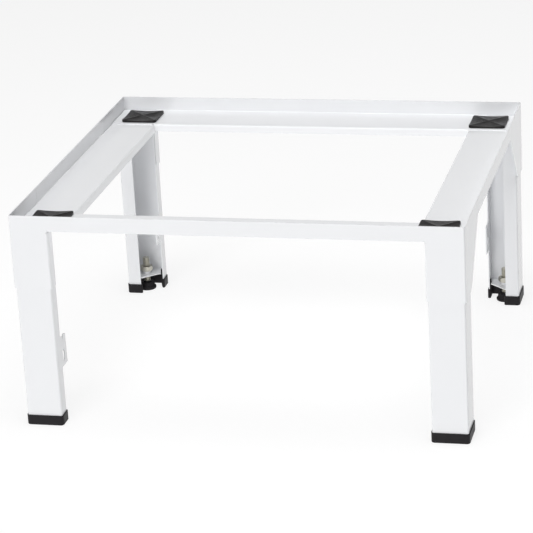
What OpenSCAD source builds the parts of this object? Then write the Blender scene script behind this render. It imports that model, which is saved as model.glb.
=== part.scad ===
// Stand of folded sheet steel for a laundry machine, with four legs and levelling feet.
// The origin is on the floor under the middle of the stand, with the front towards -Y.

/* [Overall size] */
// Width over the side walls
body_w = 600; // [560:1:680]
// Depth over the front and rear walls
body_d = 543; // [500:1:600]
// Height of the platform that the corner pads lie on
platform_z = 277; // [255:1:340]
// Height of the rim above the platform
rim_h = 20; // [12:0.5:40]

/* [Sheet metal] */
// Thickness of the steel sheet
sheet = 1.5; // [1.2:0.1:2]
// Inner radius of every bend
bend_r = 1; // [0.6:0.1:1.4]
// Gap left between edges of sheet that meet without touching
slit = 0.5; // [0.3:0.1:0.8]

/* [Front and rear frames] */
// Depth of the platform from the outer face of the wall
platform_depth = 71.5; // [64:0.5:78]
// Depth of the lip under the inner edge of the platform
platform_lip = 11; // [8:0.5:12]
// Width of the sleeves that wrap the upper ends of the legs
sleeve_w = 51.5; // [50:0.5:56]
// Height of the lower edge of the sleeves
sleeve_z = 195.5; // [180:0.5:215]
// Depth of the lip on the inner edge of a sleeve
sleeve_lip = 19; // [12:0.5:20]
// How far the side gusset reaches back under the rim
gusset_reach = 114; // [106:1:125]
// How far the side gusset reaches back where its slope ends
gusset_foot = 52; // [50:1:60]
// How far the lower edge of the sleeve reaches back
gusset_heel = 40; // [36:1:44]
// Height of the small slope at the foot of the gusset
gusset_heel_h = 8.5; // [6:0.5:12]

/* [Side rails] */
// Width of the side plate from the outer face of the wall
side_plate_w = 66.5; // [65:0.5:72]
// Depth of the lip under the inner edge of the side plate
side_lip = 12.5; // [8:0.5:16]
// Distance between the end of a side rail and the outer face of the front wall
side_end = 8; // [6:0.5:12]

/* [Legs] */
// Clearance between a leg and the sleeve round it
leg_clearance = 0.2; // [0.1:0.05:0.4]
// Depth of a leg, front to back
leg_d = 46.5; // [44:0.5:50]
// Depth of the lip on the inner edge of a leg
leg_lip = 20; // [16:0.5:22]
// Width of the lip that closes the side flange of a leg
leg_return = 19.5; // [16:0.5:22]
// Height of the top of the foot shelf
shelf_z = 24.5; // [22:0.5:28]
// Width of the fixing tab at the top of a leg
tab_w = 26; // [22:1:28]
// Distance that the fixing tab reaches in from the outer face of the wall
tab_reach = 45; // [43:1:47]
// Height that the fixing tab's neck stands above the channel of the leg
tab_neck = 3.5; // [2.5:0.5:6]

/* [Hook tabs] */
// Height of the lower edge of the hook tab
hook_z = 76.5; // [60:0.5:90]
// Height of the hook tab along the leg
hook_h = 44; // [38:0.5:50]
// How far the hook tab stands off the edge of the leg's lip
hook_reach = 22; // [18:0.5:26]
// Distance of the notch from the edge of the leg's lip
hook_notch_v = 8.8; // [7:0.1:10]
// Depth of the notch that parts the finger from the shoulder
hook_notch_h = 9; // [6:0.5:12]
// Width of the notch at its top
hook_notch_w = 5.5; // [4:0.5:7]
// Fall of the tab's sloping upper edges
hook_fall = 3; // [1:0.5:4]
// Height of the slot in the hook tab
hook_slot_h = 16.5; // [12:0.5:20]
// Width of the slot at its lower end
hook_slot_w = 5.8; // [5:0.1:7]
// How much wider the slot gets towards its upper end
hook_slot_flare = 2; // [1:0.5:3]
// Height of the slot over the lower edge of the tab
hook_slot_rise = 6.5; // [4:0.5:8]

/* [Shoes] */
// Height of a shoe
shoe_h = 14; // [10:0.5:16]
// Thickness of a shoe's walls
shoe_wall = 1.5; // [1:0.1:1.7]
// Thickness of plastic under the leg
shoe_floor = 2.5; // [1.5:0.5:4]
// Height of the snap finger over the foot shelf
finger_rise = 5; // [4:0.5:9]

/* [Levelling feet] */
// Distance of the foot from the outer face of the side wall
foot_u = 25; // [24:0.5:28]
// Distance of the foot from the outer face of the front or rear wall
foot_v = 25.5; // [24:0.5:28]
// Radius of the stud over its thread
stud_r = 5; // [4:0.5:5]
// Radial clearance between the stud and what it turns in
stud_clearance = 0.05; // [0.02:0.01:0.1]
// Height of the top of the stud
stud_top_z = 50; // [46:1:60]
// Radius of the round base
base_r = 13; // [10:0.5:13]
// Height of the round base
base_h = 12.8; // [11:0.1:14]
// Height of the round base's flare
base_flare_h = 4; // [3:0.2:6]
// Radius of the round base above its flare
base_waist_r = 11; // [9:0.5:11]
// Radius of the round base's neck
base_neck_r = 7; // [6:0.5:8]
// Height of the round base's neck
base_neck_h = 1.6; // [1:0.1:2.4]
// Height of the tapped collar that is drawn up out of the foot shelf
collar_h = 4.5; // [3:0.5:6]
// Outer radius of the tapped collar
collar_r = 6.5; // [6:0.1:7.5]
// Height of the lock nut on the collar
shelf_nut_h = 7.5; // [5:0.5:8]
// Width across the flats of the lock nut
shelf_nut_across = 17; // [16:0.5:19]

/* [Corner pads] */
// Width of a pad
pad_w = 52; // [50:0.5:54]
// Depth of a pad
pad_d = 52; // [50:0.5:54]
// Thickness of a pad at its ridges
pad_h = 4; // [4:0.1:8]
// Distance of a pad from the outer face of the side wall
pad_u = 15.5; // [12:0.5:18]
// Distance of a front pad from the outer face of the front wall
pad_v_front = 20; // [16:0.5:22]
// Distance of a rear pad from the outer face of the rear wall
pad_v_rear = 14.5; // [14:0.5:20]

/* [Fixing screws] */
// Radius of the screws' shanks
screw_r = 3; // [2.5:0.1:3.2]
// Clearance between a shank and its hole, on the radius
screw_clearance = 0.3; // [0.2:0.05:0.5]
// Radius of the screws' low heads
screw_head_r = 6; // [5:0.1:6.2]
// Height of the screws' low heads
screw_head_h = 2; // [1.5:0.1:2.2]
// Height of the screws' flanged nuts
screw_nut_h = 6; // [4:0.5:7]
// Width across the flats of the screws' nuts
screw_nut_across = 10; // [9:0.5:11]
// Radius of the flanges of the screws' nuts
screw_nut_flange_r = 6.5; // [6.3:0.1:7]

/* [Hidden] */
$fn = 48;

// Corners, as [side, end]: -1 is left or front, 1 is right or rear
FRONT_LEFT = [-1, -1];
FRONT_RIGHT = [1, -1];
REAR_LEFT = [-1, 1];
REAR_RIGHT = [1, 1];
CORNERS = [FRONT_LEFT, FRONT_RIGHT, REAR_LEFT, REAR_RIGHT];

// Colours
WHITE_COAT = "#f2f3f5";
DARK_RUBBER = "#35332f";
BLACK_PLASTIC = "#232124";
ZINC = "#b9bcb4";

// How far a cutting shape passes the face that it cuts
past = 1;

// Bends
bend_out = bend_r + sheet;
bend_mid = bend_r + sheet / 2;

// Levels of the stacked sheets in the corners
rim_z = platform_z + rim_h;
side_plate_z = platform_z - sheet;
leg_top_z = side_plate_z - sheet;

// A leg's section, measured from the outer faces of the side wall (u) and of the end wall (v)
leg_near = sheet + leg_clearance;
leg_far_u = sleeve_w - leg_near;
leg_far_v = leg_near + leg_d;
lip_edge_v = leg_near + leg_lip;
return_edge_u = leg_near + leg_return;
leg_bottom_z = shoe_floor;
channel_top_z = leg_top_z - sheet - tab_neck;

// Roundings of a shoe: the lower edges of its wall, and its turns inside and at the wall's middle
shoe_round = 1.2;
shoe_turn_r = 0.3;
shoe_bend = shoe_wall + sheet / 2 + shoe_turn_r;

// The snap finger of a shoe stands inside the leg's lip, near its edge
finger_w = 2.2;
finger_d = 4;
finger_gap = 0.3;
finger_far_u = leg_far_u - sheet;
finger_near_u = finger_far_u - finger_w;
finger_v = lip_edge_v - finger_d;

// The free edge of the foot shelf runs from the return lip past the edge of the inner lip
shelf_tip = 4;
shelf_bottom_z = shelf_z - sheet;
shelf_tip_v = lip_edge_v + shelf_tip;

// Hook tab: how the notch's width is shared between its flanks, and where the slot's upper corners lie
hook_shoulder_share = 0.3;
hook_finger_share = 0.7;
hook_slot_front_share = 0.6;
hook_slot_rear_share = 0.85;

// Leg screws and rail screws lie under the pads, and pass through so many sheets
leg_stack = 3;
rail_stack = 2;
leg_screw_u = 33;
leg_screw_v = 35;
rail_screw_u = 38;
rail_screw_v = 56;
hole_r = screw_r + screw_clearance;
tab_u = leg_screw_u - tab_w / 2;

// Foot: the end of the stud in its socket, and the small edges
socket_z = 4;
stud_chamfer = 0.7;
base_round = 1.2;
base_edge = 0.8;
collar_root = 1;

// Nuts: a flange's share of the height, the crown's distance inside the flats, and the bore's countersink
nut_flange_share = 0.22;
nut_crown = 0.2;
nut_sink = 0.8;

// Dished facets of a pad
dish_slope = 3;
dish_tilt = 79.8;
pad_corner_r = 5;
head_recess_gap = 0.5;
recess_h = screw_head_h + head_recess_gap / 2;

// Places a shape that is drawn from the outer faces inwards at one of the four corners
module at_corner(corner) {
    translate([corner[0] * body_w / 2, corner[1] * body_d / 2, 0])
        mirror([corner[0] > 0 ? 1 : 0, 0, 0])
            mirror([0, corner[1] > 0 ? 1 : 0, 0])
                children();
}

// Extrudes a section drawn in Y and Z along X, from x0 over a length
module along_x(x0, length) {
    translate([x0, 0, 0]) rotate([90, 0, 90]) linear_extrude(length) children();
}

// Extrudes a section drawn in X and Z along Y, from y0 over a length
module along_y(y0, length) {
    translate([0, y0 + length, 0]) rotate([90, 0, 0]) linear_extrude(length) children();
}

// Extrudes a plan upwards from z0 to z1
module between_z(z0, z1) {
    translate([0, 0, z0]) linear_extrude(z1 - z0) children();
}

// A rectangle between two corners
module area(a, b) {
    translate(a) square(b - a);
}

function unit(v) = v / norm(v);

// One straight run of sheet, shortened at the ends that run into a bend
module sheet_run(a, b, bend_at_a, bend_at_b) {
    dir = unit(b - a);
    trim_a = bend_at_a ? bend_mid : 0;
    trim_b = bend_at_b ? bend_mid : 0;
    translate(a + dir * trim_a)
        rotate(atan2(dir[1], dir[0]))
            translate([0, -sheet / 2])
                square([norm(b - a) - trim_a - trim_b, sheet]);
}

// One right-angle bend at b, on the way from a to c
module sheet_bend(a, b, c) {
    into = unit(b - a);
    out = unit(c - b);
    quadrant = into - out;
    reach = 2 * bend_out;
    translate(b + (out - into) * bend_mid)
        intersection() {
            difference() {
                circle(bend_out);
                circle(bend_r);
            }
            translate([min(0, quadrant[0]), min(0, quadrant[1])] * reach) square(reach);
        }
}

// Section of folded sheet along the middle of its thickness
module folded(path) {
    last = len(path) - 1;
    for (i = [0 : last - 1])
        sheet_run(path[i], path[i + 1], i > 0, i < last - 1);
    for (i = [1 : last - 1])
        sheet_bend(path[i - 1], path[i], path[i + 1]);
}

// A drilled hole through the corner's stack of sheets
module stack_hole(u, v) {
    translate([u, v, channel_top_z]) cylinder(h = rim_z - channel_top_z, r = hole_r);
}

module leg_screw_hole() {
    stack_hole(leg_screw_u, leg_screw_v);
}

module rail_screw_hole() {
    stack_hole(rail_screw_u, rail_screw_v);
}

// Section of the front wall, platform and inner lip, with the outer face of the wall at zero
module platform_section() {
    mid = sheet / 2;
    folded([
        [mid, rim_z],
        [mid, platform_z - mid],
        [platform_depth - mid, platform_z - mid],
        [platform_depth - mid, platform_z - platform_lip]
    ]);
}

// The wall between the sleeves, the platform and its lip, before the corners join it
module platform_rail() {
    half = body_w / 2 - sleeve_w - slit;
    lip_half = body_w / 2 - side_plate_w - slit;
    difference() {
        translate([0, -body_d / 2, 0]) along_x(-half, 2 * half) platform_section();
        for (side = [-1, 1])
            translate([side * (lip_half + body_w / 2), -body_d / 2, 0])
                along_x(-body_w / 2, body_w)
                    area(
                        [platform_depth - bend_out, platform_z - platform_lip - past],
                        [platform_depth + past, platform_z + past]
                    );
    }
}

// Side outline that is cut from a sleeve's return to leave the gusset, in v and z
module gusset_waste() {
    polygon([
        [gusset_heel, sleeve_z],
        [gusset_foot, sleeve_z + gusset_heel_h],
        [gusset_reach, platform_z],
        [gusset_reach + past, platform_z],
        [gusset_reach + past, sleeve_z - past],
        [gusset_heel, sleeve_z - past]
    ]);
}

// The sleeve round one leg, with its side return and gusset
module sleeve() {
    mid = sheet / 2;
    lip_top_z = leg_top_z - slit;
    difference() {
        between_z(sleeve_z, rim_z)
            folded([
                [sleeve_w - mid, sleeve_lip],
                [sleeve_w - mid, mid],
                [mid, mid],
                [mid, gusset_reach]
            ]);
        between_z(lip_top_z, rim_z + past)
            area([sleeve_w - bend_out, -past], [sleeve_w + past, sleeve_lip + past]);
        along_x(-past, sheet + 2 * past) gusset_waste();
    }
    // The wall closes down to the slit over the sleeve's lip, and its rim runs on between the sleeves
    along_x(sleeve_w - bend_out - past, bend_out + past) area([0, leg_top_z], [sheet, rim_z]);
    along_x(sleeve_w - past, slit + 2 * past) area([0, side_plate_z + bend_out], [sheet, rim_z]);
}

// The corner plate that reaches sideways from the platform over the side rail
module corner_plate() {
    difference() {
        between_z(side_plate_z, platform_z)
            area([bend_out, bend_out], [side_plate_w - bend_out, platform_depth]);
        leg_screw_hole();
        rail_screw_hole();
    }
}

// One folded blank: front wall, platform, corner plates and sleeves
module end_frame() {
    color(WHITE_COAT) {
        platform_rail();
        for (corner = [FRONT_LEFT, FRONT_RIGHT])
            at_corner(corner) {
                sleeve();
                corner_plate();
            }
    }
}

module front_frame() {
    end_frame();
}

module rear_frame() {
    rotate(180) end_frame();
}

// Section of a side rail, with the outer face of its wall at zero
module side_section() {
    mid = sheet / 2;
    folded([
        [mid, rim_z],
        [mid, side_plate_z - mid],
        [side_plate_w - mid, side_plate_z - mid],
        [side_plate_w - mid, side_plate_z - side_lip]
    ]);
}

// The side wall between the gussets, the side plate, and its inner lip between the platforms
module side_rail() {
    wall_v = gusset_reach + slit;
    lip_v = platform_depth + slit;
    plate_half = body_d / 2 - side_end;
    color(WHITE_COAT)
        difference() {
            translate([-body_w / 2, 0, 0]) along_y(-plate_half, 2 * plate_half) side_section();
            for (corner = [FRONT_LEFT, REAR_LEFT])
                at_corner(corner) {
                    between_z(leg_top_z - past, rim_z + past)
                        area([-past, -past], [bend_out, wall_v]);
                    between_z(side_plate_z - side_lip - past, rim_z)
                        area([side_plate_w - bend_out, -past], [side_plate_w + past, lip_v]);
                    leg_screw_hole();
                    rail_screw_hole();
                }
        }
}

module left_rail() {
    side_rail();
}

module right_rail() {
    rotate(180) side_rail();
}

// Middle line of the leg's sheet in plan, from the return lip round to the inner lip
function leg_path() =
    let (mid = sheet / 2)
    [
        [return_edge_u, leg_far_v - mid],
        [leg_near + mid, leg_far_v - mid],
        [leg_near + mid, leg_near + mid],
        [leg_far_u - mid, leg_near + mid],
        [leg_far_u - mid, lip_edge_v]
    ];

// Plan of the leg's channel
module leg_section() {
    folded(leg_path());
}

// The tab that folds inwards at the top of a leg and is screwed to the corner
module fixing_tab() {
    mid = sheet / 2;
    along_x(tab_u, tab_w)
        folded([
            [leg_near + mid, channel_top_z - past],
            [leg_near + mid, leg_top_z - mid],
            [tab_reach, leg_top_z - mid]
        ]);
}

// Plan of the shelf that carries the levelling foot, with a notch for the shoe's finger
module shelf_plan() {
    mid = leg_near + sheet / 2;
    finger_room = finger_near_u - finger_gap;
    difference() {
        polygon([
            [mid, mid],
            [leg_far_u - sheet / 2, mid],
            [leg_far_u - sheet / 2, finger_v - finger_gap],
            [finger_room, shelf_tip_v],
            [return_edge_u, leg_far_v - sheet / 2],
            [mid, leg_far_v - sheet / 2]
        ]);
        area([finger_room, finger_v - finger_gap], [leg_far_u, shelf_tip_v + past]);
    }
}

// Outline of the hook tab on the edge of the leg's lip, in v and z
module hook_outline() {
    edge = lip_edge_v;
    tip = edge + hook_reach;
    top = hook_z + hook_h;
    notch = edge + hook_notch_v;
    slot = (notch + tip) / 2 - hook_slot_w;
    difference() {
        polygon([
            [edge - past, hook_z],
            [tip, hook_z],
            [tip - hook_fall / 2, top - hook_fall],
            [notch + hook_notch_w * hook_finger_share, top - hook_fall / 3],
            [notch, top - hook_notch_h],
            [notch - hook_notch_w * hook_shoulder_share, top - hook_fall],
            [edge, top],
            [edge - past, top]
        ]);
        translate([slot, hook_z + hook_slot_rise])
            polygon([
                [-hook_slot_w / 2, 0],
                [hook_slot_w / 2, 0],
                [(hook_slot_w + hook_slot_flare) / 2, hook_slot_h * hook_slot_front_share],
                [hook_slot_flare / 2, hook_slot_h],
                [-hook_slot_w / 2 - hook_slot_flare, hook_slot_h * hook_slot_rear_share]
            ]);
    }
}

// The collar that is drawn up round the stud, with a rounded root
module shelf_collar() {
    r = collar_root;
    translate([foot_u, foot_v, shelf_z])
        rotate_extrude()
            polygon([
                [0, -sheet],
                [collar_r + r, -sheet],
                for (a = [0 : 30 : 90]) [collar_r + r - r * sin(a), r - r * cos(a)],
                [collar_r, collar_h],
                [0, collar_h]
            ]);
}

// One leg: a folded channel with its top tab, foot shelf and hook tab
module leg(corner) {
    color(WHITE_COAT)
        at_corner(corner)
            difference() {
                union() {
                    between_z(leg_bottom_z, channel_top_z) leg_section();
                    fixing_tab();
                    between_z(shelf_bottom_z, shelf_z) shelf_plan();
                    shelf_collar();
                    along_x(leg_far_u - sheet, sheet) hook_outline();
                }
                leg_screw_hole();
                translate([foot_u, foot_v, shelf_bottom_z - past])
                    cylinder(h = sheet + collar_h + 2 * past, r = stud_r + stud_clearance);
            }
}

// Section of a shoe's wall, across the leg's sheet, with its lower edges rounded
module shoe_wall_section() {
    half = shoe_wall + sheet / 2;
    area([-half, shoe_round], [half, shoe_h]);
    area([-half + shoe_round, 0], [half - shoe_round, shoe_h]);
    for (side = [-1, 1])
        translate([side * (half - shoe_round), shoe_round]) circle(shoe_round);
}

// A straight stretch of the shoe from a to b
module shoe_run(a, b, bend_at_a, bend_at_b) {
    dir = unit(b - a);
    trim_a = bend_at_a ? shoe_bend : 0;
    trim_b = bend_at_b ? shoe_bend : 0;
    translate(a + dir * trim_a)
        rotate(atan2(dir[1], dir[0]))
            along_x(0, norm(b - a) - trim_a - trim_b) shoe_wall_section();
}

// The shoe's turn at b, on the way from a to c
module shoe_turn(a, b, c) {
    into = unit(b - a);
    out = unit(c - b);
    quadrant = into - out;
    translate(b + (out - into) * shoe_bend)
        rotate(atan2(quadrant[1], quadrant[0]) - 45)
            rotate_extrude(angle = 90) translate([shoe_bend, 0]) shoe_wall_section();
}

// The rounded end of the shoe at a, seen along the way from b
module shoe_end(a, b) {
    dir = unit(a - b);
    translate(a)
        rotate(atan2(dir[1], dir[0]) - 90)
            rotate_extrude(angle = 180)
                intersection() {
                    shoe_wall_section();
                    area([0, 0], [sleeve_w, shoe_h]);
                }
}

// The plastic shoe that grips the lower edge of the leg's channel
module shoe(corner) {
    path = leg_path();
    last = len(path) - 1;
    color(BLACK_PLASTIC)
        at_corner(corner)
            difference() {
                union() {
                    for (i = [0 : last - 1])
                        shoe_run(path[i], path[i + 1], i > 0, i < last - 1);
                    for (i = [1 : last - 1])
                        shoe_turn(path[i - 1], path[i], path[i + 1]);
                    shoe_end(path[0], path[1]);
                    shoe_end(path[last], path[last - 1]);
                    between_z(shoe_floor, shelf_z + finger_rise)
                        area([finger_near_u, finger_v], [finger_far_u, lip_edge_v]);
                }
                between_z(leg_bottom_z, shelf_z) leg_section();
            }
}

// A hexagon with its upper corners turned off
module crowned_hexagon(across, height) {
    hex_r = across / 2 / cos(30);
    intersection() {
        cylinder(h = height, r = hex_r, $fn = 6);
        cylinder(h = height, r1 = hex_r + height, r2 = across / 2 - nut_crown);
    }
}

// A nut over a round flange
module flanged_nut(bore_r, flange_r, across, height) {
    difference() {
        union() {
            cylinder(h = height * nut_flange_share, r = flange_r);
            crowned_hexagon(across, height);
        }
        translate([0, 0, -past]) cylinder(h = height + 2 * past, r = bore_r);
    }
}

// A plain nut, crowned at both ends, with a countersunk bore
module lock_nut(bore_r, across, height) {
    difference() {
        intersection() {
            crowned_hexagon(across, height);
            translate([0, 0, height]) mirror([0, 0, 1]) crowned_hexagon(across, height);
        }
        translate([0, 0, -past]) cylinder(h = height + 2 * past, r = bore_r);
        translate([0, 0, height - nut_sink])
            cylinder(h = nut_sink + past, r1 = bore_r, r2 = bore_r + nut_sink + past);
    }
}

module shelf_nut(corner) {
    color(ZINC)
        at_corner(corner)
            translate([foot_u, foot_v, shelf_z + collar_h])
                lock_nut(stud_r + stud_clearance, shelf_nut_across, shelf_nut_h);
}

module stud(corner) {
    chamfer = stud_chamfer;
    color(ZINC)
        at_corner(corner)
            translate([foot_u, foot_v, 0])
                rotate_extrude()
                    polygon([
                        [0, socket_z],
                        [stud_r - chamfer, socket_z],
                        [stud_r, socket_z + chamfer],
                        [stud_r, stud_top_z - chamfer],
                        [stud_r - chamfer, stud_top_z],
                        [0, stud_top_z]
                    ]);
}

// The round foot, flared at the floor, with a socket for the stud
module foot_base(corner) {
    r = base_round;
    e = base_edge;
    shoulder_z = base_h - base_neck_h;
    bore_r = stud_r + stud_clearance;
    color(BLACK_PLASTIC)
        at_corner(corner)
            translate([foot_u, foot_v, 0])
                rotate_extrude()
                    polygon([
                        [0, 0],
                        for (a = [-90 : 15 : 0]) [base_r - r + r * cos(a), r + r * sin(a)],
                        [base_r, base_flare_h - e],
                        [base_waist_r + e, base_flare_h],
                        [base_waist_r, base_flare_h + e],
                        [base_waist_r - e, shoulder_z - e],
                        [base_waist_r - 2 * e, shoulder_z],
                        [base_neck_r, shoulder_z],
                        [base_neck_r - e / 2, base_h],
                        [bore_r, base_h],
                        [bore_r, socket_z],
                        [0, socket_z]
                    ]);
}

// A cone with its tip at the middle of the pad that hollows the facet towards +X
module dish() {
    half_angle = dish_tilt + dish_slope;
    length = pad_d / 3;
    rotate([0, 90 - dish_tilt, 0]) cylinder(h = length, r1 = 0, r2 = length * tan(half_angle), $fn = 96);
}

// A square pad with a dished facet along each side and room for the screw heads under it
module pad(corner) {
    pad_v = corner[1] < 0 ? pad_v_front : pad_v_rear;
    middle = [pad_u + pad_w / 2, pad_v + pad_d / 2];
    color(DARK_RUBBER)
        at_corner(corner)
            difference() {
                between_z(platform_z, platform_z + pad_h) pad_plan([pad_u, pad_v]);
                for (turn = [0 : 90 : 270])
                    translate([middle[0], middle[1], platform_z + pad_h]) rotate(turn) dish();
                for (place = [[leg_screw_u, leg_screw_v], [rail_screw_u, rail_screw_v]])
                    translate([place[0], place[1], platform_z - past])
                        cylinder(h = past + recess_h, r = screw_head_r + head_recess_gap);
            }
}

// Plan of a pad with rounded corners, from its corner nearest the walls
module pad_plan(at) {
    r = pad_corner_r;
    area(at + [r, 0], at + [pad_w - r, pad_d]);
    area(at + [0, r], at + [pad_w, pad_d - r]);
    for (x = [r, pad_w - r], y = [r, pad_d - r])
        translate(at + [x, y]) circle(r);
}

// A screw with a low domed head that stands on a surface at height z
module low_head_screw(z, length) {
    dome_r = (screw_head_r * screw_head_r + screw_head_h * screw_head_h) / (2 * screw_head_h);
    translate([0, 0, z]) {
        translate([0, 0, -length]) cylinder(h = length + screw_head_h / 2, r = screw_r);
        intersection() {
            cylinder(h = screw_head_h, r = screw_head_r);
            translate([0, 0, screw_head_h - dome_r]) sphere(dome_r, $fn = 96);
        }
    }
}

// A screw through the given number of sheets and its whole nut
module screw_in_stack(u, v, sheets) {
    translate([u, v, 0]) low_head_screw(platform_z, sheets * sheet + screw_nut_h + slit);
}

// A nut under the given number of sheets
module nut_under_stack(u, v, sheets) {
    translate([u, v, platform_z - sheets * sheet])
        mirror([0, 0, 1])
            flanged_nut(screw_r + stud_clearance, screw_nut_flange_r, screw_nut_across, screw_nut_h);
}

module leg_screws() {
    color(ZINC)
        for (corner = CORNERS)
            at_corner(corner) screw_in_stack(leg_screw_u, leg_screw_v, leg_stack);
}

module leg_screw_nuts() {
    color(ZINC)
        for (corner = CORNERS)
            at_corner(corner) nut_under_stack(leg_screw_u, leg_screw_v, leg_stack);
}

module rail_screws() {
    color(ZINC)
        for (corner = CORNERS)
            at_corner(corner) screw_in_stack(rail_screw_u, rail_screw_v, rail_stack);
}

module rail_screw_nuts() {
    color(ZINC)
        for (corner = CORNERS)
            at_corner(corner) nut_under_stack(rail_screw_u, rail_screw_v, rail_stack);
}

front_frame();
rear_frame();
left_rail();
right_rail();

leg(FRONT_LEFT);  // leg_front_left
leg(FRONT_RIGHT);  // leg_front_right
leg(REAR_LEFT);  // leg_rear_left
leg(REAR_RIGHT);  // leg_rear_right

shoe(FRONT_LEFT);  // shoe_front_left
shoe(FRONT_RIGHT);  // shoe_front_right
shoe(REAR_LEFT);  // shoe_rear_left
shoe(REAR_RIGHT);  // shoe_rear_right

shelf_nut(FRONT_LEFT);  // shelf_nut_front_left
shelf_nut(FRONT_RIGHT);  // shelf_nut_front_right
shelf_nut(REAR_LEFT);  // shelf_nut_rear_left
shelf_nut(REAR_RIGHT);  // shelf_nut_rear_right

stud(FRONT_LEFT);  // stud_front_left
stud(FRONT_RIGHT);  // stud_front_right
stud(REAR_LEFT);  // stud_rear_left
stud(REAR_RIGHT);  // stud_rear_right

foot_base(FRONT_LEFT);  // base_front_left
foot_base(FRONT_RIGHT);  // base_front_right
foot_base(REAR_LEFT);  // base_rear_left
foot_base(REAR_RIGHT);  // base_rear_right

pad(FRONT_LEFT);  // pad_front_left
pad(FRONT_RIGHT);  // pad_front_right
pad(REAR_LEFT);  // pad_rear_left
pad(REAR_RIGHT);  // pad_rear_right

leg_screws();
leg_screw_nuts();
rail_screws();
rail_screw_nuts();
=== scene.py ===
"""Looks of a laundry pedestal: an open stand of folded, powder-coated sheet steel.

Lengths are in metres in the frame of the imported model: +X to the right, -Y to the front, +Z up, with
the floor at zero. The folded sheets, shoes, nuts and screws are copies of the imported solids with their
edges rounded off. The pads, threaded studs and round bases are modelled here, in the space that their
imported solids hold.
"""

import math

import bmesh
import bpy
from mathutils import Matrix, Vector


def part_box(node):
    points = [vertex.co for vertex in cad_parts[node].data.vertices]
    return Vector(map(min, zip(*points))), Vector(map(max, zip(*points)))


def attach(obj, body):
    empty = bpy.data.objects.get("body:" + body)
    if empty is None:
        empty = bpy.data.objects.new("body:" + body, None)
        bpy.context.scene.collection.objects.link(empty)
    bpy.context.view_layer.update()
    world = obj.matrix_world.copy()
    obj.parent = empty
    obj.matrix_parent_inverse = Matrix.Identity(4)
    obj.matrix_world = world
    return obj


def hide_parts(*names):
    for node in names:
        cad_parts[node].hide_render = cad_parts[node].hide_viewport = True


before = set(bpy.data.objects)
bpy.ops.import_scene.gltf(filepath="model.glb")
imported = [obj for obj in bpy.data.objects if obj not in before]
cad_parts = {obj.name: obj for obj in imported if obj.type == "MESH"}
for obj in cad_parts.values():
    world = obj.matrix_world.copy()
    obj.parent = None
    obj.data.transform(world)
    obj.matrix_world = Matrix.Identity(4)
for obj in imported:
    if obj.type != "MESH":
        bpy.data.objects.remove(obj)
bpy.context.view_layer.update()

MM = 0.001
SAME_POINT = 0.002 * MM
CORNERS = {
    "front_left": (-1, -1), "front_right": (1, -1), "rear_left": (-1, 1), "rear_right": (1, 1),
}
UP = Vector((0, 0, 1))


# Selecting and editing

def take(piece):
    """Makes a piece the only selected object, and the active one."""
    bpy.ops.object.select_all(action="DESELECT")
    piece.select_set(True)
    bpy.context.view_layer.objects.active = piece


def edit(piece):
    take(piece)
    bpy.ops.object.mode_set(mode="EDIT")
    bpy.ops.mesh.select_mode(type="VERT")
    bpy.ops.mesh.select_all(action="SELECT")


def leave_edit():
    bpy.ops.object.mode_set(mode="OBJECT")


def pick(kind, passes):
    """In edit mode, selects only the verts, edges or faces that pass a test."""
    bpy.ops.mesh.select_mode(type=kind)
    bpy.ops.mesh.select_all(action="DESELECT")
    mesh = bmesh.from_edit_mesh(bpy.context.edit_object.data)
    parts = {"VERT": mesh.verts, "EDGE": mesh.edges, "FACE": mesh.faces}[kind]
    for part in parts:
        if passes(part):
            part.select_set(True)
    mesh.select_flush_mode()
    bmesh.update_edit_mesh(bpy.context.edit_object.data)


def modify(piece, kind, **settings):
    """Adds a modifier and applies it."""
    take(piece)
    modifier = piece.modifiers.new(kind.title(), kind)
    for name, value in settings.items():
        setattr(modifier, name, value)
    bpy.ops.object.modifier_apply(modifier=modifier.name)


def smooth(piece, angle):
    take(piece)
    bpy.ops.object.shade_smooth_by_angle(angle=math.radians(angle))


def flatten_shading(piece):
    """Lets large faces keep their own normals, so that only bends and rounded edges look curved."""
    modify(piece, "WEIGHTED_NORMAL", keep_sharp=True, weight=100)


def close_up(piece):
    """Merges doubled points and turns all faces outwards."""
    edit(piece)
    bpy.ops.mesh.remove_doubles(threshold=SAME_POINT)
    bpy.ops.mesh.normals_make_consistent(inside=False)
    leave_edit()


def settle(piece):
    """Puts a piece's place into its mesh, so that its object sits at the origin."""
    take(piece)
    bpy.ops.object.transform_apply(location=True, rotation=True, scale=True)


def remove(piece):
    bpy.data.objects.remove(piece, do_unlink=True)


def copied(piece, name, place):
    """A copy with its own mesh, moved to a place."""
    twin = bpy.data.objects.new(name, piece.data.copy())
    bpy.context.scene.collection.objects.link(twin)
    twin.location = place
    settle(twin)
    return twin


def drawn_line(name, points):
    """A line through points of X and Z in millimetres, drawn by extruding one point."""
    bpy.ops.object.select_all(action="DESELECT")
    bpy.ops.mesh.primitive_plane_add(size=MM)
    line = bpy.context.object
    line.name = name
    places = [Vector((x, 0, z)) * MM for x, z in points]
    edit(line)
    bpy.ops.mesh.merge(type="CENTER")
    bpy.ops.transform.translate(value=places[0])
    for here, there in zip(places, places[1:]):
        bpy.ops.mesh.extrude_region_move(TRANSFORM_OT_translate={"value": there - here})
    leave_edit()
    return line


# Materials

def linear(colour):
    """An sRGB hex value as linear red, green, blue and alpha."""
    channels = [int(colour[i:i + 2], 16) / 255 for i in (1, 3, 5)]
    return [c / 12.92 if c <= 0.04045 else ((c + 0.055) / 1.055) ** 2.4 for c in channels] + [1]


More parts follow.
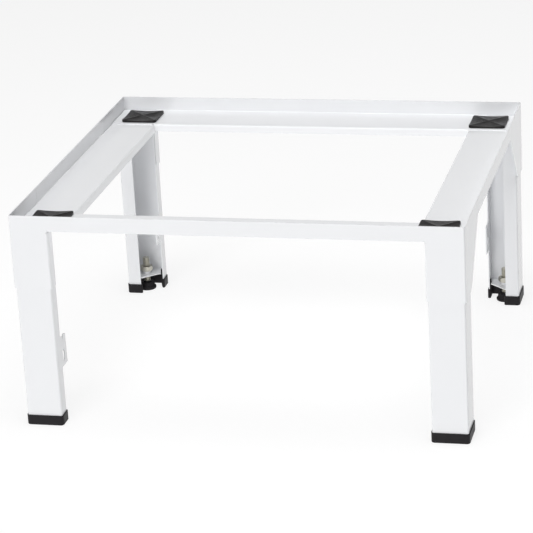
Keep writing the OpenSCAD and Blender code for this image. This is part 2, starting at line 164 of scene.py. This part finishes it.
def add_node(tree, kind, settings=(), links=()):
    """Adds a node, sets its properties and sockets, and links its inputs to other nodes' outputs."""
    node = tree.nodes.new(kind)
    for name, value in dict(settings).items():
        if isinstance(name, str) and hasattr(node, name):
            setattr(node, name, value)
        else:
            node.inputs[name].default_value = value
    for name, output in dict(links).items():
        tree.links.new(output, node.inputs[name])
    return node


def finish(name, shine, light, dark, cloud, grain, grain_height, roughness, coarse_grain=None):
    """Two close colours in clouds, a fine grain in relief, and a roughness that varies.

    cloud and grain are the sizes of their features in metres, and grain_height is the relief's height.
    """
    material = bpy.data.materials.new(name)
    material.use_nodes = True
    tree = material.node_tree
    tree.nodes.clear()
    place = add_node(tree, "ShaderNodeTexCoord").outputs["Object"]
    clouds = add_node(
        tree, "ShaderNodeTexNoise", {"Scale": 1 / cloud, "Detail": 3.0}, {"Vector": place}
    )
    colour = add_node(
        tree,
        "ShaderNodeMix",
        {"data_type": "RGBA", 6: linear(light), 7: linear(dark)},
        {0: clouds.outputs[0]},
    )
    grains = add_node(
        tree, "ShaderNodeTexNoise", {"Scale": 1 / grain, "Detail": 2.0}, {"Vector": place}
    )
    relief = grains.outputs[0]
    if coarse_grain:
        pits = add_node(
            tree, "ShaderNodeTexVoronoi", {"Scale": 1 / coarse_grain}, {"Vector": place}
        )
        relief = add_node(
            tree, "ShaderNodeMath", {"operation": "ADD"}, {0: relief, 1: pits.outputs["Distance"]}
        ).outputs[0]
    bump = add_node(
        tree, "ShaderNodeBump", {"Strength": 1.0, "Distance": grain_height}, {"Height": relief}
    )
    worn = add_node(
        tree,
        "ShaderNodeMapRange",
        {"To Min": roughness[0], "To Max": roughness[1], "From Min": 0.3, "From Max": 0.7},
        {"Value": clouds.outputs[0]},
    )
    shader = add_node(
        tree,
        "ShaderNodeBsdfPrincipled",
        shine,
        {"Base Color": colour.outputs[2], "Roughness": worn.outputs[0], "Normal": bump.outputs[0]},
    )
    add_node(tree, "ShaderNodeOutputMaterial", (), {"Surface": shader.outputs[0]})
    return material


# Polyester powder, sprayed on and baked: it melts into a glossy, faintly cool white skin with a slight
# orange peel. The peel's waves are 1 to 2 mm long, and are drawn 3 mm long so that they show.
powder_coat = finish(
    "white_powder_coat",
    {"IOR": 1.5},
    light="#f3f4f6", dark="#f0f1f3", cloud=60 * MM,
    grain=3 * MM, grain_height=0.008 * MM, roughness=(0.11, 0.16),
)

# Bright zinc plate on steel: a warm grey metal with a fine mottle from the bath, duller in patches.
zinc_plate = finish(
    "zinc_plated_steel",
    {"Metallic": 1.0},
    light="#d6d4ca", dark="#aeab9f", cloud=2.2 * MM,
    grain=0.35 * MM, grain_height=0.004 * MM, roughness=(0.24, 0.42),
)

# Black polypropylene, moulded in a spark-eroded tool: matt, with a grain of about 0.2 mm, which is
# drawn at 0.5 mm so that it shows.
moulded_plastic = finish(
    "moulded_black_polypropylene",
    {"IOR": 1.49, "Specular IOR Level": 0.2},
    light="#252326", dark="#1b191b", cloud=9 * MM,
    grain=0.5 * MM, grain_height=0.03 * MM, roughness=(0.42, 0.56),
)

# Charcoal rubber, pressed in a mould: a soft sheen with a dusty bloom in patches, and fine pits.
pressed_rubber = finish(
    "pressed_charcoal_rubber",
    {"IOR": 1.52, "Specular IOR Level": 0.2},
    light="#1f1c1c", dark="#131111", cloud=5 * MM,
    grain=0.6 * MM, grain_height=0.02 * MM, roughness=(0.3, 0.44), coarse_grain=1.2 * MM,
)
FINISHES = {
    "powder_coat": powder_coat,
    "zinc_steel": zinc_plate,
    "shoe_plastic": moulded_plastic,
    "pad_rubber": pressed_rubber,
}


SHEET_ANGLE = 50  # edges that turn by more than this stay sharp, in degrees, here and below
THREAD_ANGLE = 28
BASE_ANGLE = 26
PAD_ANGLE = 9


def fit(piece, slot, body, node):
    """Gives a finished piece its material and body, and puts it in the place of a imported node."""
    piece.data.materials.clear()
    piece.data.materials.append(FINISHES[slot])
    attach(piece, body)
    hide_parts(node)


def merged_copy(node, name):
    """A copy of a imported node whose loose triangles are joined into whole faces."""
    piece = bpy.data.objects.new(name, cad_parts[node].data.copy())
    bpy.context.scene.collection.objects.link(piece)
    edit(piece)
    bpy.ops.mesh.remove_doubles(threshold=SAME_POINT)
    bpy.ops.mesh.select_mode(type="EDGE")
    bpy.ops.mesh.mark_sharp(clear=True)
    bpy.ops.mesh.dissolve_limited(angle_limit=math.radians(0.6))
    leave_edit()
    bpy.ops.mesh.customdata_custom_splitnormals_clear()
    return piece


def softened(node, name, edge_round):
    """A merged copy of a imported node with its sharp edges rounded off."""
    piece = merged_copy(node, name)
    modify(
        piece, "BEVEL", width=edge_round, segments=2, limit_method="ANGLE",
        angle_limit=math.radians(35), miter_outer="MITER_ARC", use_clamp_overlap=True,
    )
    smooth(piece, SHEET_ANGLE)
    flatten_shading(piece)
    return piece


# Folded sheets: the coat leaves their cut edges rounded
SHEET_EDGE = 0.35 * MM
SHEETS = ["front_frame", "rear_frame", "left_rail", "right_rail"]
for node in SHEETS + ["leg_" + corner for corner in CORNERS]:
    fit(softened(node, node + "_sheet", SHEET_EDGE), "powder_coat", "root", node)

# Shoes, nuts and screws
SHOE_EDGE, NUT_EDGE, SCREW_EDGE = 0.25 * MM, 0.2 * MM, 0.15 * MM
for node, slot, edge_round in [
    *(("shoe_" + corner, "shoe_plastic", SHOE_EDGE) for corner in CORNERS),
    *(("shelf_nut_" + corner, "zinc_steel", NUT_EDGE) for corner in CORNERS),
    ("leg_screws", "zinc_steel", SCREW_EDGE),
    ("leg_screw_nuts", "zinc_steel", NUT_EDGE),
    ("rail_screws", "zinc_steel", SCREW_EDGE),
    ("rail_screw_nuts", "zinc_steel", NUT_EDGE),
]:
    fit(softened(node, node + "_part", edge_round), slot, "root", node)


# Levelling feet: the axis of each is in the middle of its packed stud
def foot_axis(corner):
    low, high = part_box("stud_" + corner)
    return Vector(((low.x + high.x) / 2, (low.y + high.y) / 2, 0))


# Thread of the studs, in millimetres
PITCH = 1.5
ROOT_R, CREST_R = 4.1, 5.0
ROOT_FLAT, FLANK, CREST_FLAT = 0.37, 0.47, 0.19
THREAD_TURNS, STEPS_A_TURN = 38, 24
THREAD_START, THREAD_END = 1.6, 53.1


def long_thread():
    """A screw thread of 10 mm on the Z axis, longer than the stud at both ends."""
    steps = [ROOT_FLAT / 2, FLANK, CREST_FLAT, FLANK, ROOT_FLAT / 2]
    radii = [ROOT_R, ROOT_R, CREST_R, CREST_R, ROOT_R, ROOT_R]
    heights = [sum(steps[:i]) for i in range(len(radii))]
    line = drawn_line("thread", [(r, z - 2 * PITCH) for r, z in zip(radii, heights)])
    modify(
        line, "SCREW", axis="Z", angle=math.tau, screw_offset=PITCH * MM, iterations=THREAD_TURNS,
        steps=STEPS_A_TURN, render_steps=STEPS_A_TURN, use_merge_vertices=True,
    )
    for height, outer in ((THREAD_START, False), (THREAD_END, True)):
        edit(line)
        bpy.ops.mesh.bisect(
            plane_co=UP * height * MM, plane_no=UP, clear_inner=not outer, clear_outer=outer
        )
        leave_edit()
    close_up(line)
    edit(line)
    pick("EDGE", lambda edge: edge.is_boundary)
    bpy.ops.mesh.edge_face_add()
    leave_edit()
    close_up(line)
    return line


def cut_stud(thread, corner):
    """The thread at one corner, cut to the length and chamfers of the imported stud."""
    piece = copied(thread, "threaded_stud_" + corner, foot_axis(corner))
    blank = merged_copy("stud_" + corner, "blank")
    modify(piece, "BOOLEAN", operation="INTERSECT", object=blank, solver="EXACT")
    remove(blank)
    close_up(piece)
    smooth(piece, THREAD_ANGLE)
    return piece


thread = long_thread()
for corner in CORNERS:
    fit(cut_stud(thread, corner), "zinc_steel", "stud_body_" + corner, "stud_" + corner)
remove(thread)


# Round base of a foot, in millimetres from its axis and from the floor
FLUTES = 24
FLUTE_DEPTH = 0.35
WAIST_R = 11
FLUTE_FROM, FLUTE_TO = 4.9, 10.5
BASE_SECTION = [
    (0, 0), (11.8, 0), (12.65, 0.35), (13, 1.2), (13, 3.1), (12.7, 3.6), (11.9, 4), (11.3, 4.4),
    (WAIST_R, 5.1), (10.4, 10.2), (10.1, 10.9), (9.4, 11.2), (7, 11.2), (6.8, 12.4), (6.4, 12.8),
    (5.05, 12.8), (5.05, 4), (0, 4),
]


def round_base():
    """The moulded base on the Z axis, turned from its section, with flutes for the fingers."""
    base = drawn_line("base", BASE_SECTION)
    edit(base)
    bpy.ops.mesh.spin(steps=4 * FLUTES, angle=math.tau, center=(0, 0, 0), axis=UP)
    leave_edit()
    close_up(base)
    edit(base)
    flute_angle = math.tau / FLUTES

    def in_flute(vert):
        on_outside = vert.co.xy.length > (WAIST_R - 1.1) * MM
        turn = math.atan2(vert.co.y, vert.co.x) / flute_angle
        on_flute = abs(turn - round(turn)) < 0.1
        return on_flute and on_outside and FLUTE_FROM < vert.co.z / MM < FLUTE_TO

    pick("VERT", in_flute)
    inward = 1 - FLUTE_DEPTH / WAIST_R
    bpy.ops.transform.resize(value=(inward, inward, 1), center_override=(0, 0, 0))
    leave_edit()
    return base


base = round_base()
for corner in CORNERS:
    piece = copied(base, "round_base_" + corner, foot_axis(corner))
    smooth(piece, BASE_ANGLE)
    fit(piece, "shoe_plastic", "base_body_" + corner, "base_" + corner)
remove(base)


# Corner pads: four scooped facets, with fine ribs that run out from the raised middle. Lengths are in
# millimetres, RIBS is the number along half a side, and each ring is a share of the pad's size. The
# screws' places are measured from the stand's side and end.
PAD_CORNER_R = 5
RIBS = 16
RIB_DEPTH = 0.08
DISH = math.tan(math.radians(10.2))
SCOOP_DEPTH = 0.35
PAD_RINGS = (0.97, 0.92, 0.84, 0.74, 0.63, 0.52, 0.41, 0.3, 0.19, 0.09)
HEAD_R, RECESS_H = 6.5, 2.1
SCREW_PLACES = ((33, 35), (38, 56))
HALF_WIDTH, HALF_DEPTH = 300, 271.5


def pad_blank():
    """A pad on the origin, with its underside at zero."""
    low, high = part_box("pad_front_left")
    size = high - low
    bpy.ops.object.select_all(action="DESELECT")
    bpy.ops.mesh.primitive_plane_add(size=1)
    pad = bpy.context.object
    edit(pad)
    bpy.ops.transform.resize(value=(size.x, size.y, 1))
    bpy.ops.mesh.bevel(affect="VERTICES", offset=PAD_CORNER_R * MM, segments=8, profile=0.5)
    bpy.ops.mesh.delete(type="ONLY_FACE")
    pick("EDGE", lambda edge: edge.calc_length() > 20 * MM)
    bpy.ops.mesh.subdivide(number_cuts=2 * RIBS - 1)
    bpy.ops.mesh.select_all(action="SELECT")
    bpy.ops.mesh.extrude_region_move(TRANSFORM_OT_translate={"value": UP * size.z})
    shrunk = 1
    for ring in PAD_RINGS:
        bpy.ops.mesh.extrude_region_move()
        step = ring / shrunk
        bpy.ops.transform.resize(value=(step, step, 1), center_override=UP * size.z)
        shrunk = ring
    bpy.ops.mesh.extrude_region_move()
    bpy.ops.mesh.merge(type="CENTER")
    pick("EDGE", lambda edge: max(vert.co.z for vert in edge.verts) < size.z / 2)
    bpy.ops.mesh.edge_face_add()
    scoop_facets(size)
    leave_edit()
    close_up(pad)
    modify(
        pad, "BEVEL", width=0.4 * MM, segments=3, limit_method="ANGLE",
        angle_limit=math.radians(55), use_clamp_overlap=True,
    )
    return pad


def scoop_facets(size):
    """Hollows the pad's top between the diagonals, sinks it towards the outline, and ribs it."""
    half = Vector((size.x / 2, size.y / 2))
    rib_w = Vector((half.x - PAD_CORNER_R * MM, half.y - PAD_CORNER_R * MM)) / RIBS
    diagonal = math.pi / 4

    def depth(x, y):
        turn = math.atan2(y, x) % (math.pi / 2)
        off_middle = min(turn, math.pi / 2 - turn)
        share = max(abs(x) / half.x, abs(y) / half.y)
        sink = math.hypot(x, y) * DISH * max(0, math.cos(off_middle) - math.cos(diagonal))
        fade = 1 - (off_middle / diagonal) ** 4
        scoop = 4 * share * (1 - share) * SCOOP_DEPTH * MM * fade
        in_end_facet = abs(y) / half.y > abs(x) / half.x
        across, width = (x, rib_w.x) if in_end_facet else (y, rib_w.y)
        rib = round(across / share / width + RIBS) % 2
        return sink + scoop + rib * RIB_DEPTH * MM * fade * min(1, 2 * share)

    tops = [
        vert for vert in bmesh.from_edit_mesh(bpy.context.edit_object.data).verts
        if vert.co.z > size.z / 2 and vert.co.xy.length > 0.1 * MM
    ]

    def spot(vert):
        return round(vert.co.x, 8), round(vert.co.y, 8)

    depths = {spot(vert): round(depth(vert.co.x, vert.co.y), 6) for vert in tops}
    for value in sorted(set(depths.values())):
        pick("VERT", lambda vert: vert.co.z > size.z / 2 and depths.get(spot(vert)) == value)
        bpy.ops.transform.translate(value=-UP * value)


def clear_screw_heads(pad, corner):
    """Sinks a round recess into a pad's underside over each screw head."""
    side, end = CORNERS[corner]
    floor_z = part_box("pad_" + corner)[0].z
    for u, v in SCREW_PLACES:
        place = Vector((side * (HALF_WIDTH - u), end * (HALF_DEPTH - v), 0)) * MM
        bpy.ops.object.select_all(action="DESELECT")
        bpy.ops.mesh.primitive_cylinder_add(
            vertices=48, radius=HEAD_R * MM, depth=2 * RECESS_H * MM,
            location=place + UP * floor_z,
        )
        cutter = bpy.context.object
        modify(pad, "BOOLEAN", operation="DIFFERENCE", object=cutter, solver="EXACT")
        remove(cutter)


blank = pad_blank()
for corner in CORNERS:
    low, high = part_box("pad_" + corner)
    place = Vector(((low.x + high.x) / 2, (low.y + high.y) / 2, low.z))
    piece = copied(blank, "ribbed_pad_" + corner, place)
    clear_screw_heads(piece, corner)
    smooth(piece, PAD_ANGLE)
    fit(piece, "pad_rubber", "root", "pad_" + corner)
remove(blank)


# Stage. The strengths were fitted to the photograph's levels.
FLOOR_GLOW = 0.8
ROOM_LIGHT = 0.06
BACKDROP_LIGHT = 0.66
LAMPS = (
    ("front_lamp", 6, 472, (-2, -9, 4)),
    ("top_softbox", 2, 48, (0.2, -0.3, 2.8)),
)
LAMP_TARGET = Vector((0, 0, 0.2))


def studio():
    """A pale paper floor that glows, as a lit sweep does, a dim room, a bright backdrop and lamps."""
    bpy.ops.object.select_all(action="DESELECT")
    bpy.ops.mesh.primitive_plane_add(size=40)
    floor = bpy.context.object
    floor.name = "floor"
    paper = bpy.data.materials.new("white_studio_paper")
    paper.use_nodes = True
    tree = paper.node_tree
    tree.nodes.clear()
    shader = add_node(
        tree,
        "ShaderNodeBsdfPrincipled",
        {"Base Color": linear("#888888"), "Roughness": 0.9, "Specular IOR Level": 0.1,
         "Emission Color": linear("#ffffff"), "Emission Strength": FLOOR_GLOW},
    )
    add_node(tree, "ShaderNodeOutputMaterial", (), {"Surface": shader.outputs[0]})
    floor.data.materials.append(paper)

    # The room is dim, and its low backdrop behind the stand is bright
    world = bpy.data.worlds.new("soft_room")
    world.use_nodes = True
    tree = world.node_tree
    tree.nodes.clear()
    towards = add_node(tree, "ShaderNodeTexCoord").outputs["Generated"]
    axes = add_node(tree, "ShaderNodeSeparateXYZ", (), {"Vector": towards}).outputs
    behind = add_node(
        tree,
        "ShaderNodeMapRange",
        {"From Min": 0.35, "From Max": 0.85, "To Min": 0.0, "To Max": BACKDROP_LIGHT},
        {"Value": axes["Y"]},
    )
    low = add_node(
        tree,
        "ShaderNodeMapRange",
        {"From Min": 0.6, "From Max": 0.4, "To Min": 0.0, "To Max": 1.0},
        {"Value": axes["Z"]},
    )
    strength = add_node(
        tree,
        "ShaderNodeMath",
        {"operation": "MULTIPLY_ADD", 2: ROOM_LIGHT},
        {0: behind.outputs[0], 1: low.outputs[0]},
    )
    background = add_node(
        tree,
        "ShaderNodeBackground",
        {"Color": linear("#ffffff")},
        {"Strength": strength.outputs[0]},
    )
    add_node(tree, "ShaderNodeOutputWorld", (), {"Surface": background.outputs[0]})
    bpy.context.scene.world = world

    # The lamp is wide and far in front of the stand. The softbox is above it, where its mirror image
    # in the pads stays out of the photo camera's sight.
    for name, size, power, place in LAMPS:
        lamp = bpy.data.objects.new(name, bpy.data.lights.new(name, "AREA"))
        lamp.data.shape = "SQUARE"
        lamp.data.size = size
        lamp.data.energy = power
        lamp.location = place
        aim = LAMP_TARGET - lamp.location
        lamp.rotation_euler = aim.to_track_quat("-Z", "Y").to_euler()
        bpy.context.scene.collection.objects.link(lamp)


# Camera of the photograph, which was solved from the stand's straight edges
AZIMUTH, ELEVATION, ROLL = math.radians(14.0537), math.radians(20.2323), -0.056279
CAMERA_PLACE = (0.762495, -3.145225, 1.329013)


def photo_camera():
    back = Vector((
        math.sin(AZIMUTH) * math.cos(ELEVATION),
        -math.cos(AZIMUTH) * math.cos(ELEVATION),
        math.sin(ELEVATION),
    ))
    level_right = Vector((math.cos(AZIMUTH), math.sin(AZIMUTH), 0))
    right = Matrix.Rotation(ROLL, 3, back) @ level_right
    camera = bpy.data.objects.new("camera", bpy.data.cameras.new("camera"))
    camera.data.sensor_width = 36
    camera.data.lens = 166.77
    axes = Matrix((right, back.cross(right), back)).transposed().to_4x4()
    camera.matrix_world = Matrix.Translation(CAMERA_PLACE) @ axes
    bpy.context.scene.collection.objects.link(camera)
    bpy.context.scene.camera = camera


studio()
photo_camera()
bpy.context.scene.view_settings.view_transform = "Standard"
